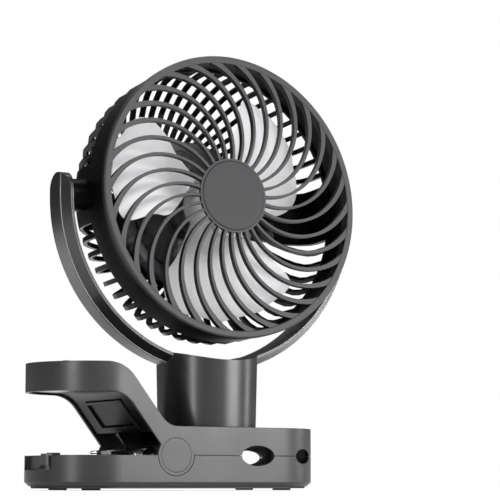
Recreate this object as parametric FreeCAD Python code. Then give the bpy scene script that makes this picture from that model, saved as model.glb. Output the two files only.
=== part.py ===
import FreeCAD, Part
import os
from math import cos, radians, sin, sqrt

# Rechargeable clip fan: a peg-type clip carries a column, a yoke and a caged fan head.
# Millimetres, +Z up. +X runs along the clip towards its jaws, -Y faces the front grille.
# The origin is the middle of the overall footprint, on the plane that the feet stand on.

Vec = FreeCAD.Vector
os.makedirs("parts", exist_ok=True)

# Driving sizes: clip
clip_len = 218.0
clip_width = 92.0
foot_plane = 0.0
skirt_z = 5.4
split_z = 23.8
jaw_top_z = 43.6
handle_low_z = 66.8
handle_top_z = 86.8
wall = 2.4
column_from_middle = 29.0
pivot_from_column = 50.0
ear_r = 14.0
cap_r = 11.7
pin_r = 3.0
squeeze_max_deg = 24.0

# Driving sizes: column and yoke
column_r_low = 35.2
column_r_top = 36.5
tilt_z = 204.8
rest_tilt_deg = 4.85
yoke_gap = 12.4
yoke_thick = 7.2
yoke_front = 12.5
yoke_step = 4.8
yoke_rear = 11.0
yoke_bevel = 5.0
arm_rise = 15.3
tilt_pin_r = 4.0
boss_r = 11.5

# Driving sizes: fan head, depths are measured forwards from the tilt axis
band_r = 101.2
ring_r = band_r + 1.3
ring_face = 37.8
ring_width = 5.1
ring_depth = 4.4
hub_r = 26.9
spoke_count = 30
spoke_width = 2.1
spoke_depth = 4.0
band_rear = 11.9
cage_rear = -41.0
rib_count = 54
rib_width = 3.4
rib_depth = 3.0
pot_r = 54.0
blade_tip_r = band_r - 17.2
blade_count = 3

# Named clearances
seam = 0.15
running = 0.05
body_gap = 0.3
fit_gap = 0.1

# Places that follow from the sizes above
yoke_r_in = band_r + yoke_gap
yoke_r_out = yoke_r_in + yoke_thick
clip_half_len = clip_len / 2
clip_end_r = clip_width / 2
column_x = (clip_half_len + column_from_middle - yoke_r_out) / 2
clip_x = column_x - column_from_middle
pivot_x = column_x - pivot_from_column
pivot_z = split_z
inner_half = clip_end_r - wall
tilt_point = Vec(column_x, 0, tilt_z)


def save(node, shapes):
    solids = shapes if isinstance(shapes, list) else [shapes]
    shape = solids[0] if len(solids) == 1 else Part.makeCompound(solids)
    shape.exportStep(os.path.join("parts", node + ".step"))
    print(node, len(shape.Solids), round(shape.Volume / 1000.0, 2), "cm3", shape.isValid())


def box(x0, x1, y0, y1, z0, z1):
    return Part.makeBox(x1 - x0, y1 - y0, z1 - z0, Vec(x0, y0, z0))


def cyl_x(radius, x0, x1, y, z):
    return Part.makeCylinder(radius, x1 - x0, Vec(x0, y, z), Vec(1, 0, 0))


def cyl_y(radius, y0, y1, x, z):
    return Part.makeCylinder(radius, y1 - y0, Vec(x, y0, z), Vec(0, 1, 0))


def cyl_z(radius, z0, z1, x, y):
    return Part.makeCylinder(radius, z1 - z0, Vec(x, y, z0))


def joined(shapes):
    whole = shapes[0] if len(shapes) == 1 else shapes[0].fuse(shapes[1:])
    return whole.removeSplitter()


def stadium_face(inset, z):
    """Plan of the clip: straight sides with fully rounded ends, drawn in by an inset."""
    radius = clip_end_r - inset
    half = clip_half_len - clip_end_r
    left = clip_x - half
    right = clip_x + half
    edges = [
        Part.LineSegment(Vec(left, -radius, z), Vec(right, -radius, z)).toShape(),
        Part.Arc(Vec(right, -radius, z), Vec(right + radius, 0, z), Vec(right, radius, z)).toShape(),
        Part.LineSegment(Vec(right, radius, z), Vec(left, radius, z)).toShape(),
        Part.Arc(Vec(left, radius, z), Vec(left - radius, 0, z), Vec(left, -radius, z)).toShape(),
    ]
    return Part.Face(Part.Wire(edges))


def stadium(inset, z0, z1):
    return stadium_face(inset, z0).extrude(Vec(0, 0, z1 - z0))


def side_profile(points, half_width):
    """Prism across the clip from an outline in the XZ plane; a point with a radius is rounded."""
    wire = rounded_wire([(Vec(x, -half_width, z), r) for x, z, r in points])
    return Part.Face(wire).extrude(Vec(0, 2 * half_width, 0))


def rounded_wire(corners):
    """Closed wire through corners, each rounded by its own radius where that is above zero."""
    count = len(corners)
    starts = []
    ends = []
    arcs = []
    for i in range(count):
        here, radius = corners[i]
        before = corners[i - 1][0]
        after = corners[(i + 1) % count][0]
        if radius <= 0:
            starts.append(here)
            ends.append(here)
            arcs.append(None)
            continue
        into = (before - here).normalize()
        away = (after - here).normalize()
        half_angle = into.getAngle(away) / 2
        reach = radius / (sin(half_angle) / cos(half_angle))
        middle = (into + away).normalize()
        centre = here + middle * (radius / sin(half_angle))
        first = here + into * reach
        last = here + away * reach
        starts.append(first)
        ends.append(last)
        arcs.append(Part.Arc(first, centre - middle * radius, last).toShape())
    edges = []
    for i in range(count):
        if arcs[i] is not None:
            edges.append(arcs[i])
        following = starts[(i + 1) % count]
        if (following - ends[i]).Length > 1e-6:
            edges.append(Part.LineSegment(ends[i], following).toShape())
    return Part.Wire(edges)


def disc_at(radius, depth0, depth1, x=0.0, z=0.0):
    """Disc about the head axis between two depths in front of the tilt axis."""
    return cyl_y(radius, -depth1, -depth0, column_x + x, tilt_z + z)


def ring_at(r_out, r_in, depth0, depth1):
    return disc_at(r_out, depth0, depth1).cut(disc_at(r_in, depth0 - 1, depth1 + 1))


def head_revolve(points):
    """Solid of revolution about the head axis from (radius, depth) points."""
    corners = [Vec(column_x + r, -d, tilt_z) for r, d in points]
    wire = Part.makePolygon(corners + [corners[0]])
    return Part.Face(wire).revolve(tilt_point, Vec(0, 1, 0), 360)


def turned(shape, angle_deg):
    """Copy turned about the head axis; positive runs counter-clockwise seen from the front."""
    copy = shape.copy()
    copy.rotate(tilt_point, Vec(0, -1, 0), angle_deg)
    return copy


def tilted(shape):
    """Head pieces are drawn level and then leaned back to the rest tilt."""
    copy = shape.copy()
    copy.rotate(tilt_point, Vec(1, 0, 0), -rest_tilt_deg)
    return copy


# Clip: sizes shared by the lower and upper shells
plate_inset = 4.4
plate_low_z = 1.0
rim_low_z = 2.6
plate_top_z = 3.2
deck = 1.9
liner_low_z = 13.6
liner_high_z = split_z * 2 - liner_low_z
liner_thick = 2.0
pad_thick = 1.6
hole1_x = column_x + 15.3
hole1_w = 26.4
hole1_h = 14.0
hole2_x = column_x + 56.5
hole2_w = 17.0
hole2_h = 10.4
boss_half = 7.0
boss_thick = 5.0
notch_floor_z = 13.9
notch_depth = 8.0
notch_y0 = -21.0
notch_y1 = 21.0
lever_end_x = clip_x - clip_half_len
nose_x = clip_x + clip_half_len
throat_x = pivot_x + ear_r + 1.0
ear_clear_r = ear_r + body_gap
jaw_start_x = pivot_x + ear_r + 4.0


def lens_hole(x, width, height):
    """Oval grip hole through both side walls, half in each shell."""
    oval = Part.Ellipse(Vec(x, split_z, 0), width / 2, height / 2).toShape()
    oval.rotate(Vec(0, 0, 0), Vec(1, 0, 0), 90)
    face = Part.Face(Part.Wire(oval))
    face.translate(Vec(0, -clip_width, 0))
    return face.extrude(Vec(0, 2 * clip_width, 0))


def grip_holes():
    return [lens_hole(hole1_x, hole1_w, hole1_h), lens_hole(hole2_x, hole2_w, hole2_h)]


def both_sides(y0, y1, maker):
    """The same feature on the front and rear side walls."""
    front = maker(-y1, -y0)
    rear = maker(y0, y1)
    return [front, rear]


# Lower shell
def make_lower_shell():
    top = split_z - seam
    body = stadium(0, skirt_z, top)
    slope = Part.makeLoft([stadium_face(plate_inset - 1.2, rim_low_z).OuterWire,
                           stadium_face(0, skirt_z).OuterWire], True, True)
    body = body.fuse(slope)
    lever_side = box(lever_end_x - 5, pivot_x - boss_half - 4, -clip_width, clip_width, 0, top - deck)
    jaw_side = box(pivot_x - boss_half - 4, nose_x + 5, -clip_width, clip_width, 0, split_z + 5)
    hollow = stadium(wall, skirt_z, split_z + 5).fuse(stadium(plate_inset + 1.2, 0, skirt_z + 1))
    body = body.cut(hollow.common(lever_side.fuse(jaw_side)))
    ears = both_sides(inner_half - 1, clip_end_r + 1, lambda a, b: cyl_y(ear_clear_r, a, b, pivot_x, pivot_z))
    body = body.cut(ears)
    arm_room = both_sides(inner_half - 1, clip_end_r + 1,
                          lambda a, b: box(pivot_x - ear_clear_r, throat_x, a, b, pivot_z, split_z + 5))
    body = body.cut(arm_room)
    notch = box(lever_end_x - 1, lever_end_x + notch_depth, notch_y0, notch_y1, notch_floor_z, split_z + 5)
    pocket = box(lever_end_x - 1, lever_end_x + notch_depth + wall, notch_y0 - wall, notch_y1 + wall,
                 notch_floor_z - wall, top - 0.2).common(stadium(0, 0, split_z))
    body = body.fuse(pocket).cut(notch)
    body = body.fuse(cleat_lug())
    y_in = inner_half - body_gap - boss_thick
    y_out = inner_half - body_gap
    bosses = both_sides(y_in, y_out, pivot_boss)
    feet_of_bosses = both_sides(y_in, inner_half + 0.5,
                                lambda a, b: box(pivot_x - boss_half, pivot_x + boss_half, a, b,
                                                 plate_top_z, pivot_z - ear_clear_r - 0.4))
    body = joined([body, seam_lip()] + bosses + feet_of_bosses + screw_posts())
    body = body.cut([cyl_z(screw_r + 0.02, 0, screw_post_top + 1, x, y) for x, y in screw_spots])
    body = body.cut(grip_holes() + [cyl_y(pin_r + 0.02, -clip_width, clip_width, pivot_x, pivot_z)])
    body = body.cut(socket_cut())
    return body.removeSplitter()


def pivot_boss(y0, y1):
    stem = box(pivot_x - boss_half, pivot_x + boss_half, y0, y1, plate_top_z, pivot_z)
    return stem.fuse(cyl_y(boss_half, y0, y1, pivot_x, pivot_z))


screw_post_top = 12.8
screw_post_r = 3.4


lip_start_x = throat_x + 0.8


def seam_lip():
    """Thin lip on the inside of the jaw's rim that stands behind the parting line."""
    low = split_z - 3.0
    high = split_z + 1.6
    out = wall + body_gap
    lip = stadium(out, low, high).cut(stadium(out + 1.0, low - 1, high + 1))
    root = stadium(wall - 0.2, low, split_z - 0.6).cut(stadium(out + 1.0, low - 1, high + 1))
    ahead = box(lip_start_x, nose_x + 5, -clip_width, clip_width, low - 1, high + 1)
    return lip.fuse(root).common(ahead)


def screw_posts():
    """Screw posts tied to the side walls by a web."""
    posts = []
    for x, y in screw_spots:
        low = plate_top_z + 1.6
        y0, y1 = sorted((y, (inner_half + 0.5) * (1 if y > 0 else -1)))
        post = cyl_z(screw_post_r, low, screw_post_top, x, y)
        posts.append(post.fuse(box(x - 1.2, x + 1.2, y0, y1, low, screw_post_top)))
    return posts


lug_y0 = -19.4
lug_y1 = -11.4
lug_top_z = split_z + 0.8
lug_x0 = lever_end_x + 2.2
lug_len = 5.0
lug_flare = 1.4


def cleat_foot(inset, z):
    x0 = lug_x0 - inset
    x1 = lug_x0 + lug_len + inset
    y0 = lug_y0 - inset
    y1 = lug_y1 + 1.6 * inset
    return Part.makePolygon([Vec(x0, y0, z), Vec(x1, y0, z), Vec(x1, y1, z), Vec(x0, y1, z), Vec(x0, y0, z)])


def cleat_lug():
    """Small cleat in the end notch: a post with a flared foot."""
    post = box(lug_x0, lug_x0 + lug_len, lug_y0, lug_y1, notch_floor_z - 0.5, lug_top_z)
    foot = Part.makeLoft([cleat_foot(lug_flare, notch_floor_z - 0.2), cleat_foot(0, notch_floor_z + 3)], True, True)
    return post.fuse(foot)


socket_x = column_x - 22.0
socket_z = 9.2
socket_w = 9.0
socket_h = 3.2
socket_len = 7.4


def socket_shape(grow, y0, y1):
    flat = box(socket_x - (socket_w - socket_h) / 2, socket_x + (socket_w - socket_h) / 2,
               y0, y1, socket_z - socket_h / 2 - grow, socket_z + socket_h / 2 + grow)
    ends = [cyl_y(socket_h / 2 + grow, y0, y1, socket_x + side * (socket_w - socket_h) / 2, socket_z)
            for side in (-1, 1)]
    return joined([flat] + ends)


def socket_cut():
    return socket_shape(fit_gap, inner_half - 1, clip_end_r + 1)


def make_charge_socket():
    shell = socket_shape(0, clip_end_r - 0.6 - socket_len, clip_end_r - 0.6)
    mouth = socket_shape(-0.4, clip_end_r - 0.6 - socket_len + 1, clip_end_r + 1)
    tongue = box(socket_x - 3, socket_x + 3, clip_end_r - 0.6 - socket_len + 0.5, clip_end_r - 1.6,
                 socket_z - 0.35, socket_z + 0.35)
    return shell.cut(mouth).fuse(tongue)


# Bottom plate, feet and screws
foot_r = 6.5
foot_sink = 1.1
foot_spots = [(clip_x + sx * 76.0, sy * 26.0) for sx in (-1, 1) for sy in (-1, 1)]
screw_y = 34.0
screw_spots = [(clip_x + dx, sy * screw_y) for dx in (-36.0, 62.0) for sy in (-1, 1)]
screw_head_r = 2.9
screw_r = 1.4
hook_wire_r = 2.1
hook_root_x = column_x - 4.0
hook_reach = 60.0
hook_bend_r = 11.0
hook_z = plate_low_z + hook_wire_r + 0.4
hook_axle_half = 9.0
bay_top_z = hook_z + hook_wire_r + 0.8


def hook_bay(grow):
    """Recess under the clip that takes the folded hook."""
    x0 = hook_root_x - hook_reach - hook_wire_r - 2.5
    x1 = hook_root_x + hook_wire_r + 4.5
    y0 = -2 * hook_bend_r + hook_wire_r - 6.0
    y1 = hook_axle_half + 2.5
    return box(x0 - grow, x1 + grow, y0 - grow, y1 + grow, 0, bay_top_z + grow)


def make_bottom_plate():
    tread = stadium(plate_inset, plate_low_z, rim_low_z)
    spigot = stadium(plate_inset + 1.2 + fit_gap, rim_low_z, plate_top_z)
    tray = hook_bay(1.4).common(stadium(plate_inset + 3, 0, 30)).cut(box(-500, 500, -500, 500, -5, rim_low_z))
    body = joined([tread, spigot, tray])
    body = body.cut(hook_bay(0))
    body = body.cut([cyl_z(foot_r + fit_gap, 0, plate_low_z + foot_sink, x, y) for x, y in foot_spots])
    posts = [cyl_z(screw_head_r + 1.2, plate_top_z - 0.5, plate_top_z + 1.6, x, y) for x, y in screw_spots]
    body = joined([body] + posts)
    body = body.cut([cyl_z(screw_r + fit_gap, 0, 30, x, y) for x, y in screw_spots])
    body = body.cut([cyl_z(screw_head_r + fit_gap, 0, plate_low_z + 1.8, x, y) for x, y in screw_spots])
    rests = [box(x - 2, x + 2, y - 2, y + 2, plate_top_z - 0.3, board_z) for x, y in board_rests]
    body = joined([body] + rests)
    return body.fuse(hook_saddle()).removeSplitter()


def make_rubber_feet():
    return [cyl_z(foot_r, foot_plane, plate_low_z + foot_sink, x, y) for x, y in foot_spots]


def make_plate_screws():
    screws = []
    for x, y in screw_spots:
        head = cyl_z(screw_head_r, plate_low_z + 0.3, plate_low_z + 1.8, x, y)
        slot = box(x - 2.0, x + 2.0, y - 0.4, y + 0.4, 0, plate_low_z + 1.0)
        shank = cyl_z(screw_r, plate_low_z + 1.5, plate_top_z + 8.0, x, y)
        screws.append(head.cut(slot).fuse(shank).removeSplitter())
    return screws


# Cells and their holder
cell_r = 9.2
cell_len = 65.0
cell_z = plate_top_z + cell_r + 0.1
cell_xs = [pivot_x - boss_half - 25.0 - cell_r * 2 - 0.8, pivot_x - boss_half - 25.0]
holder_wall = 1.8


def make_battery_cells():
    cells = []
    for x in cell_xs:
        can = cyl_y(cell_r, -cell_len / 2, cell_len / 2 - 2.0, x, cell_z)
        neck = cyl_y(cell_r - 1.0, cell_len / 2 - 2.0, cell_len / 2 - 0.8, x, cell_z)
        tip = cyl_y(2.8, cell_len / 2 - 0.8, cell_len / 2, x, cell_z)
        cells.append(joined([can, neck, tip]))
    return cells


def make_cell_holder():
    x0 = cell_xs[0] - cell_r - holder_wall
    x1 = cell_xs[1] + cell_r + holder_wall
    y1 = cell_len / 2 + holder_wall + 0.6
    body = box(x0, x1, -y1, y1, plate_top_z, cell_z + 1.5)
    pockets = [cyl_y(cell_r + 0.15, -cell_len / 2 - 0.5, cell_len / 2 + 0.5, x, cell_z) for x in cell_xs]
    pockets.append(box(cell_xs[0], cell_xs[1], -cell_len / 2 - 0.5, cell_len / 2 + 0.5, 0, 40))
    pockets.append(box(x0 + holder_wall + 2, x1 - holder_wall - 2, -cell_len / 2 + 8, cell_len / 2 - 8, 0, 40))
    return body.cut(pockets).removeSplitter()


def make_cell_contacts():
    tabs = []
    for x in cell_xs:
        for side in (-1, 1):
            y = side * (cell_len / 2 + 0.25)
            tabs.append(box(x - 4, x + 4, y - 0.25, y + 0.25, cell_z - 4, cell_z + 4))
    return tabs


# Main board
board_z = 6.4
board_thick = 1.6
board_x0 = hook_root_x + 8.0
board_x1 = column_x + 52.0
board_half = 26.0
board_rests = [(board_x0 + 4, -22.0), (board_x0 + 4, 22.0), (board_x1 - 6, -16.0), (board_x1 - 6, 16.0)]


def make_main_board():
    board = box(board_x0, board_x1, -board_half, board_half, board_z, board_z + board_thick)
    tongue = box(socket_x - 6, board_x0 + 1, 20.0, clip_end_r - wall - 1.8, board_z, board_z + 1.2)
    chips = [box(board_x0 + 10, board_x0 + 18, -6, 2, board_z + board_thick, board_z + board_thick + 1.2),
             box(board_x0 + 26, board_x0 + 33, -14, -7, board_z + board_thick, board_z + board_thick + 2.8),
             box(board_x0 + 26, board_x0 + 31, 4, 14, board_z + board_thick, board_z + board_thick + 1.6)]
    return joined([board, tongue] + chips)


# Inner jaw decks and their rubber pads
def jaw_deck_plan(inset, z0, z1):
    keep = box(jaw_start_x, nose_x + 5, -clip_width, clip_width, z0 - 1, z1 + 1)
    return stadium(wall + inset, z0, z1).common(keep)


def make_lower_liner():
    plate = jaw_deck_plan(fit_gap, liner_low_z, liner_low_z + liner_thick)
    flange = jaw_deck_plan(fit_gap, plate_top_z + 3.0, liner_low_z + 0.5)
    flange = flange.cut(jaw_deck_plan(fit_gap + 1.4, 0, 40))
    front_edge = box(jaw_start_x, jaw_start_x + 1.4, -inner_half + 1, inner_half - 1, 9.5, liner_low_z + 0.5)
    body = joined([plate, flange, front_edge])
    webs = [box(x - 1.6, x + 1.6, -clip_width, clip_width, 0, screw_post_top + 0.2) for x, y in screw_spots]
    return body.cut([socket_shape(0.6, inner_half - 12, clip_end_r + 1)] + webs).removeSplitter()


def make_upper_liner():
    plate = jaw_deck_plan(fit_gap, liner_high_z - liner_thick, liner_high_z)
    flange = jaw_deck_plan(fit_gap, liner_high_z - 0.5, jaw_top_z - wall)
    flange = flange.cut(jaw_deck_plan(fit_gap + 1.4, 0, 80))
    return joined([plate, flange])


pad_groove = 0.8
pad_spans = [(jaw_start_x + 3, hole1_x - hole1_w / 2 - 3),
             (hole1_x + hole1_w / 2 + 2, hole2_x - hole2_w / 2 + 1)]


def groove_places(x0, x1):
    count = int((x1 - x0 - 3) // 4)
    return [x0 + (i + 1) * (x1 - x0) / (count + 1) for i in range(count)]


def make_grip_pads(z0, groove_z0):
    """Ribbed rubber pads on a jaw deck, with grooves cut into the face that grips."""
    pads = []
    for x0, x1 in pad_spans:
        strip = box(x0, x1, -inner_half + 6, inner_half - 6, z0, z0 + pad_thick)
        grooves = [box(g - 0.6, g + 0.6, -clip_width, clip_width, groove_z0, groove_z0 + pad_groove)
                   for g in groove_places(x0, x1)]
        pads.append(strip.cut(grooves))
    return pads


# Pivot pin, caps, bumper and spring
cap_thick = 1.2


def make_pivot_pin():
    y1 = clip_end_r - cap_thick - 0.2
    return cyl_y(pin_r, -y1, y1, pivot_x, pivot_z)


def make_pivot_caps():
    caps = []
    for side in (-1, 1):
        y0 = side * (clip_end_r - cap_thick)
        y1 = side * clip_end_r
        caps.append(cyl_y(cap_r, min(y0, y1), max(y0, y1), pivot_x, pivot_z))
    return caps


bumper_x = lever_end_x + 32.0
bumper_len = 7.5
bumper_top_z = split_z + 2.4
bumper_y = 42.5
bumper_width = 6.5


def make_bumper():
    """Two small stops on the deck's edges that the lever comes down on."""
    far = bumper_x + bumper_len
    return [box(bumper_x, far, -bumper_y, -bumper_y + bumper_width, split_z - seam, bumper_top_z),
            box(bumper_x, far, bumper_y - bumper_width, bumper_y, split_z - seam, bumper_top_z)]


spring_wire_r = 1.1
spring_coil_r = 5.6
spring_whole_turns = 5
spring_pitch = 2.8
spring_lower_leg = 46.0
spring_upper_leg = 23.5
lower_leg_drop_deg = 4.6
upper_leg_rise_deg = 125.4
spring_start_deg = 90.0 + lower_leg_drop_deg
spring_end_deg = upper_leg_rise_deg + 90.0 - 360.0
spring_turns = spring_whole_turns + (spring_start_deg - spring_end_deg) / 360.0


def coil_point(share):
    """Centre line of the coil about the pivot pin, from the lower leg (0) to the upper leg (1)."""
    angle = radians(spring_start_deg - 360.0 * spring_turns * share)
    y = (share - 0.5) * spring_turns * spring_pitch
    return Vec(pivot_x + spring_coil_r * cos(angle), y, pivot_z + spring_coil_r * sin(angle))


def make_torsion_spring():
    """Coil with two tangent legs as one unbroken wire, in quarter turns."""
    steps = int(round(spring_turns * 4))
    lower_way = Vec(-cos(radians(lower_leg_drop_deg)), 0, -sin(radians(lower_leg_drop_deg)))
    upper_way = Vec(cos(radians(upper_leg_rise_deg)), 0, sin(radians(upper_leg_rise_deg)))
    start = coil_point(0)
    far_end = start + lower_way * spring_lower_leg
    edges = [Part.LineSegment(far_end, start).toShape()]
    points = [start]
    for i in range(steps):
        middle = coil_point((i + 0.5) / steps)
        after = coil_point((i + 1) / steps)
        edges.append(Part.Arc(points[-1], middle, after).toShape())
        points.append(after)
    edges.append(Part.LineSegment(points[-1], points[-1] + upper_way * spring_upper_leg).toShape())
    print("spring gap between turns", round(spring_pitch - 2 * spring_wire_r, 2))
    section = Part.Wire(Part.Circle(far_end, lower_way, spring_wire_r).toShape())
    return Part.Wire(edges).makePipeShell([section], True, False)


# Upper shell: jaw, round ears and the humped squeeze lever in one moulding
knee_x = column_x - 99.5
heel_x = column_x - 57.0
knee_r_out = 26.0
knee_r_in = 22.0
fillet_r = 16.0
arm_slope_deg = 52.1
arm_thick = 12.1
lever_skin = 2.4
lever_lip = 1.4


def arm_line_x(z, shift):
    """X of the sloping arm's underside at a height, moved out along its own normal."""
    slope = radians(arm_slope_deg)
    foot_x = pivot_x - 12.6
    foot_z = pivot_z + 8.3
    return foot_x - (z - foot_z) * cos(slope) / sin(slope) + shift / sin(slope)


def lever_outline(draw_in):
    """Side outline of jaw, arm and handle; draw_in moves every face inwards by the skin."""
    top = handle_top_z - draw_in
    low = handle_low_z + draw_in
    jaw_top = jaw_top_z - draw_in
    end = lever_end_x - 5
    return [
        (end, low, 0),
        (arm_line_x(low, draw_in), low, knee_r_in + draw_in),
        (arm_line_x(pivot_z + 2, draw_in), pivot_z + 2, 0),
        (arm_line_x(pivot_z + 2, draw_in), split_z + seam, 0),
        (nose_x + 5, split_z + seam, 0),
        (nose_x + 5, jaw_top, 0),
        (arm_line_x(jaw_top, arm_thick - draw_in), jaw_top, fillet_r + draw_in),
        (arm_line_x(top, arm_thick - draw_in), top, knee_r_out - draw_in),
        (end, top, 0),
    ]


def clip_plan(shape, inset):
    return shape.common(stadium(inset, 0, handle_top_z + 10))


def lever_hollow():
    """Everything inside the upper shell's skins, open downwards."""
    skin = lever_skin
    top = handle_top_z - skin
    jaw_top = jaw_top_z - wall
    end = lever_end_x - 5
    return clip_plan(side_profile([
        (end, handle_low_z - 5, 0),
        (arm_line_x(handle_low_z - 5, -8), handle_low_z - 5, 0),
        (arm_line_x(0, -8), 0, 0),
        (nose_x + 5, 0, 0),
        (nose_x + 5, jaw_top, 0),
        (arm_line_x(jaw_top, arm_thick - skin), jaw_top, fillet_r + skin),
        (arm_line_x(top, arm_thick - skin), top, knee_r_out - skin),
        (end, top, 0),
    ], clip_width), wall)


def make_upper_shell():
    body = clip_plan(side_profile(lever_outline(0), clip_width), 0)
    ears = both_sides(inner_half, clip_end_r, lambda a, b: cyl_y(ear_r, a, b, pivot_x, pivot_z))
    jaw_joint = both_sides(inner_half, clip_end_r,
                           lambda a, b: box(pivot_x, throat_x, a, b, split_z + seam, jaw_top_z - 1))
    body = joined([body] + ears)
    body = body.cut(lever_hollow())
    body = joined([body] + ears + jaw_joint)
    caps = both_sides(clip_end_r - cap_thick, clip_end_r + 1,
                      lambda a, b: cyl_y(cap_r + fit_gap, a, b, pivot_x, pivot_z))
    body = body.cut(caps + grip_holes())
    body = body.cut([cyl_y(pin_r + running, -clip_width, clip_width, pivot_x, pivot_z),
                     cyl_z(spigot_r + running, jaw_top_z - wall - 1, jaw_top_z + 1, column_x, 0)])
    body = body.cut([panel_seat()] + [button_hole(spot) for spot in button_spots])
    return body.removeSplitter()


# Lever liner: closes the underside of the handle and arm, with a raised frame on the slope
liner_skin = 1.8
liner_end_z = 40.0


def liner_band(shift, thick, z_end, half, x_from):
    """Sheet that follows the lever's underside, a set distance above it."""
    low = handle_low_z + shift
    return side_profile([
        (x_from, low, 0),
        (arm_line_x(low, shift), low, knee_r_in + shift),
        (arm_line_x(z_end, shift), z_end, 0),
        (arm_line_x(z_end, shift + thick), z_end, 0),
        (arm_line_x(low + thick, shift + thick), low + thick, knee_r_in + shift + thick),
        (x_from, low + thick, 0),
    ], half)


frame_half = 27.0
frame_width = 1.6
frame_proud = 0.9
frame_low_z = 42.0
frame_high_z = 61.0


def slope_window(half, z0, z1):
    return box(arm_line_x(z1, -3), arm_line_x(z0, 14), -half, half, z0, z1)


def make_lever_liner():
    sheet = clip_plan(liner_band(lever_lip, liner_skin, liner_end_z, clip_width, lever_end_x - 5), wall + fit_gap)
    proud = liner_band(lever_lip - frame_proud, frame_proud + 0.2, liner_end_z, clip_width, lever_end_x - 5)
    rim = proud.common(slope_window(frame_half, frame_low_z, frame_high_z))
    rim = rim.cut(slope_window(frame_half - frame_width, frame_low_z + frame_width, frame_high_z - frame_width))
    sink = liner_band(lever_lip - 1, 1.6, liner_end_z, clip_width, lever_end_x - 5)
    sink = sink.common(slope_window(frame_half - frame_width, frame_low_z + frame_width,
                                    frame_high_z - frame_width))
    return sheet.fuse(rim).cut(sink).removeSplitter()


# Control panel, buttons, indicator, receiver and the board under them
panel_x = lever_end_x + 19.5
panel_len = 50.0
panel_width = 20.0
panel_deep = 0.8
button_r = 3.0
button_proud = 1.2
button_travel = 0.8
button_names = ["fan_button", "light_button", "timer_button"]
button_pitch = 11.0
button_spots = [(panel_x, button_pitch * (i - 1) - 3.0) for i in range(len(button_names))]
window_y = 17.5
receiver_y = -20.5
board_under_z = handle_top_z - lever_skin - 4.6
switch_top_z = board_under_z + 1.6 + 0.8


def slot_prism(x, y, length, width, z0, z1):
    """Round-ended prism that runs across the handle."""
    flat = box(x - width / 2, x + width / 2, y - (length - width) / 2, y + (length - width) / 2, z0, z1)
    ends = [cyl_z(width / 2, z0, z1, x, y + side * (length - width) / 2) for side in (-1, 1)]
    return joined([flat] + ends)


def panel_seat():
    return slot_prism(panel_x, 0, panel_len + 2 * fit_gap, panel_width + 2 * fit_gap,
                      handle_top_z - panel_deep, handle_top_z + 1)


def button_hole(spot):
    return cyl_z(button_r + body_gap, handle_top_z - 5, handle_top_z + 1, spot[0], spot[1])


def make_control_panel():
    plate = slot_prism(panel_x, 0, panel_len, panel_width, handle_top_z - panel_deep, handle_top_z)
    holes = [button_hole(spot) for spot in button_spots]
    holes.append(window_block(fit_gap, handle_top_z - 3, handle_top_z + 1))
    holes.append(cyl_z(receiver_r + fit_gap, handle_top_z - 3, handle_top_z + 1, panel_x, receiver_y))
    return plate.cut(holes)


def make_button(spot):
    """Round key with a wider foot under the panel, standing just above its switch."""
    x, y = spot
    top = handle_top_z + button_proud
    stem = cyl_z(button_r, switch_top_z + button_travel, top, x, y)
    crown = [e for e in stem.Edges if e.BoundBox.ZMin > top - 0.01]
    return stem.makeFillet(0.5, crown)


window_half_x = 1.9
window_half_y = 5.4
receiver_r = 1.5


def window_block(grow, z0, z1):
    return box(panel_x - window_half_x - grow, panel_x + window_half_x + grow,
               window_y - window_half_y - grow, window_y + window_half_y + grow, z0, z1)


def make_indicator_window():
    return window_block(0, handle_top_z - panel_deep, handle_top_z + 0.2)


def make_ir_receiver():
    return cyl_z(receiver_r, handle_top_z - panel_deep, handle_top_z + 0.3, panel_x, receiver_y)


def make_button_board():
    half_x = panel_width / 2
    half_y = panel_len / 2 - 4
    board = box(panel_x - half_x, panel_x + half_x, -half_y, half_y, board_under_z, board_under_z + board_thick)
    switches = [box(x - 2.5, x + 2.5, y - 2.5, y + 2.5, board_under_z + 1.0, switch_top_z)
                for x, y in button_spots]
    posts = [cyl_z(2.0, board_under_z + 1.5, handle_top_z - lever_skin, panel_x + sx * (half_x - 2.5), sy * (half_y - 3))
             for sx in (-1, 1) for sy in (-1, 1)]
    return joined([board] + switches + posts)


# Column, swivel and yoke
spigot_r = 17.0
swivel_washer_thick = 0.5
column_low_z = jaw_top_z + swivel_washer_thick
column_wall = 3.0
base_disc_thick = 3.0
retainer_r = 22.0
retainer_thick = 1.6
retainer_top_z = jaw_top_z - wall - 0.3
cable_bore_r = 8.0
swivel_screw_r = 1.3
swivel_screw_ring = 12.5


def make_swivel_washer():
    return cyl_z(30.0, jaw_top_z, column_low_z, column_x, 0).cut(
        cyl_z(spigot_r + running, jaw_top_z - 1, column_low_z + 1, column_x, 0))


def make_column_base():
    inner = column_r_low - column_wall - fit_gap
    disc = cyl_z(inner, column_low_z, column_low_z + base_disc_thick, column_x, 0)
    spigot = cyl_z(spigot_r, retainer_top_z, column_low_z + 1, column_x, 0)
    body = disc.fuse(spigot)
    holes = [cyl_z(cable_bore_r, 0, tilt_z, column_x, 0)]
    for x, y in swivel_screw_spots():
        holes.append(cyl_z(swivel_screw_r, 0, column_low_z + 0.5, x, y))
    return body.cut(holes).removeSplitter()


def swivel_screw_spots():
    return [(column_x + swivel_screw_ring * cos(radians(a)), swivel_screw_ring * sin(radians(a)))
            for a in (90, 210, 330)]


def make_swivel_retainer():
    ring = cyl_z(retainer_r, retainer_top_z - retainer_thick, retainer_top_z, column_x, 0)
    holes = [cyl_z(cable_bore_r, 0, 60, column_x, 0)]
    holes += [cyl_z(swivel_screw_r + fit_gap, 0, 60, x, y) for x, y in swivel_screw_spots()]
    return ring.cut(holes)


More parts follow.
